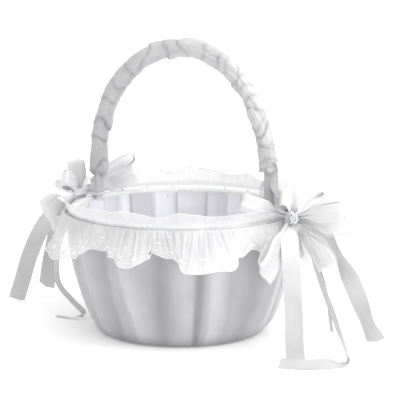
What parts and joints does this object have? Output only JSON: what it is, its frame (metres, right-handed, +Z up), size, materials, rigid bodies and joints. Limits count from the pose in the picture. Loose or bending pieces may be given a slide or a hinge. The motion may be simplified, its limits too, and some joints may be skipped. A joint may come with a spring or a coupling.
{
  "type": "flower girl basket",
  "caption": "Round white satin basket with a gathered lace frill at the rim, a tall ruched hoop handle and a ribbon bow at each handle foot.",
  "frame": {"origin": "centre of the underside disc's lower face", "axes": "+Z up, +X in the plane of the handle towards the right foot, +Y across the handle plane"},
  "size_m": [0.3638, 0.2288, 0.2519],
  "materials": {
    "satin": "soft satin sheen",
    "lining_satin": "soft satin sheen",
    "organza": "sheer, crisp",
    "embroidered_organza": "sheer with matt embroidery",
    "rhinestone": "faceted, bright",
    "setting": "bright",
    "moulded_shell": "plain",
    "wire": "plain",
    "card": "grey-brown card",
    "wadding": "loft polyester",
    "strip": "plain",
    "rivet": "plain",
    "pearl": "pearl"
  },
  "bodies": {
    "root": {"basket_shell": "moulded_shell", "floor_board": "card", "floor_lining": "lining_satin", "floor_pad": "wadding", "handle_core": "strip", "handle_rivets_left": "rivet", "handle_rivets_right": "rivet", "handle_sleeve": "satin", "lace_falling_frill": "embroidered_organza", "lace_heading_tape": "satin", "lace_standing_frill": "embroidered_organza", "left_bow_brooch_plate": "setting", "left_bow_knot": "satin", "left_bow_narrow_loop": "satin", "left_bow_narrow_tail": "satin", "left_bow_organza_loop_1": "organza", "left_bow_organza_loop_2": "organza", "left_bow_organza_loop_3": "organza", "left_bow_organza_loop_4": "organza", "left_bow_rhinestones": "rhinestone", "left_bow_satin_loop_inner": "satin", "left_bow_satin_loop_outer": "satin", "left_bow_satin_loop_short": "satin", "left_bow_satin_tail_1": "satin", "left_bow_satin_tail_2": "satin", "left_bow_satin_tail_3": "satin", "left_bow_tie": "satin", "outer_cover": "satin", "right_bow_brooch_plate": "setting", "right_bow_knot": "satin", "right_bow_narrow_loop": "satin", "right_bow_narrow_tail": "satin", "right_bow_organza_loop_1": "organza", "right_bow_organza_loop_2": "organza", "right_bow_organza_loop_3": "organza", "right_bow_organza_loop_4": "organza", "right_bow_organza_loop_5": "organza", "right_bow_rhinestones": "rhinestone", "right_bow_satin_loop_inner": "satin", "right_bow_satin_loop_outer": "satin", "right_bow_satin_loop_short": "satin", "right_bow_satin_tail_1": "satin", "right_bow_satin_tail_2": "satin", "right_bow_satin_tail_3": "satin", "right_bow_tie": "satin", "rim_binding": "satin", "rim_pearls": "pearl", "rim_wire": "wire", "stem_wrap_left": "satin", "stem_wrap_right": "satin", "underside_disc": "satin", "wall_lining": "lining_satin", "wall_wadding": "wadding"}
  },
  "joints": []
}
